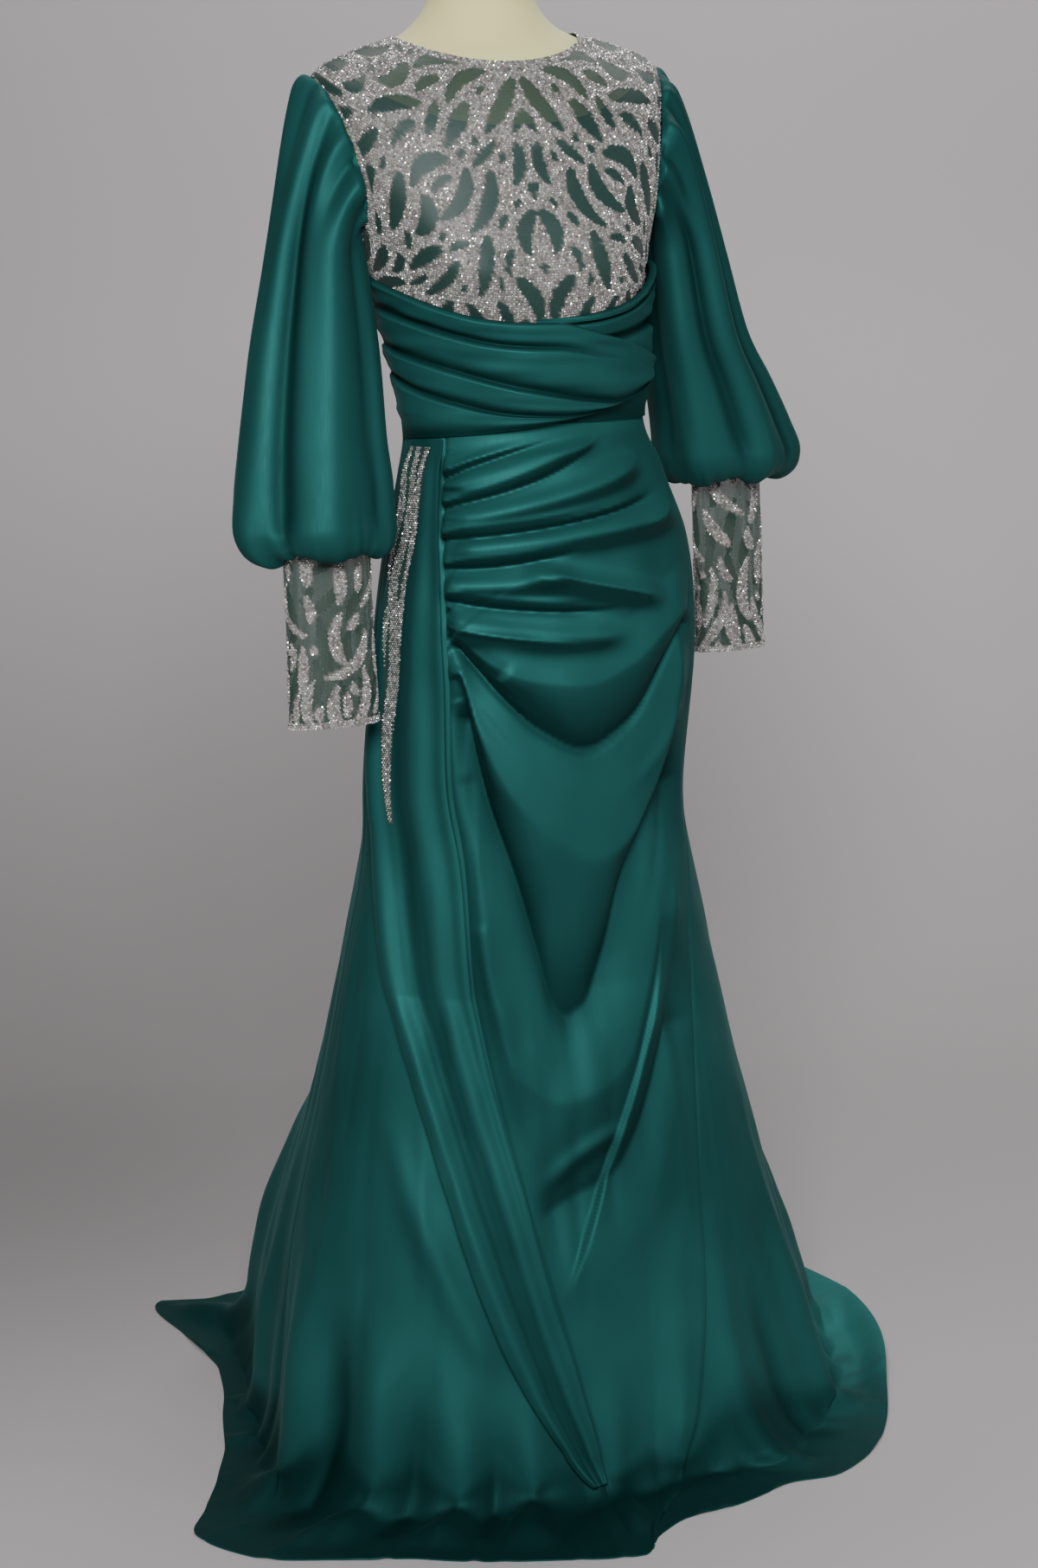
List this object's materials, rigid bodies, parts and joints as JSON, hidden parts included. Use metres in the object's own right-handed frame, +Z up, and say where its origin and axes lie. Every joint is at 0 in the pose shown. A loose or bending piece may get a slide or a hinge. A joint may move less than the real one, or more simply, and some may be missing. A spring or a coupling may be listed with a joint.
{
  "type": "evening gown on dress form",
  "caption": "Long satin evening gown with beaded net yoke and cuffs, bishop sleeves, crossed pleated waist, draped trumpet skirt and sweep train, on a limbless dress form with a round stand.",
  "frame": {"origin": "centre of the underside of the stand's base", "axes": "+Z up, -Y the gown's front, +X to the right as seen from the front (the wearer's left)"},
  "size_m": [0.8987, 1.0882, 1.633],
  "materials": {
    "satin": "heavy duchess satin, deep emerald, soft sheen",
    "beaded_net": "sheer green net covered with silver beading",
    "beading": "silver stones and seed beads on net",
    "jersey": "cream jersey stretched over the form, matte",
    "steel": "grey satin paint",
    "zip_metal": "zip metal lacquered to match the cloth"
  },
  "bodies": {
    "gown": {"dress_form": "jersey", "stand_base": "steel", "stand_pole": "steel", "yoke_front": "beaded_net", "bust_panel": "satin", "back_right_panel": "satin", "back_left_panel": "satin", "waist_over": "satin", "waist_under": "satin", "skirt_side_left": "satin", "skirt_front": "satin", "skirt_side_right": "satin", "skirt_back_right": "satin", "skirt_back_left": "satin", "cascade": "satin", "hip_beading": "beading", "sleeve_left": "satin", "sleeve_right": "satin", "cuff_left": "beaded_net", "cuff_right": "beaded_net", "zip_slider": "zip_metal"},
    "pull_tab": {"zip_pull": "zip_metal"}
  },
  "joints": [
    {"name": "pull_tab_hinge", "type": "hinge", "parent": "gown", "child": "pull_tab", "pos_m": [0, 0.09362, 1.55176], "axis": [1, 0, 0], "range_deg": [0, 140]}
  ]
}
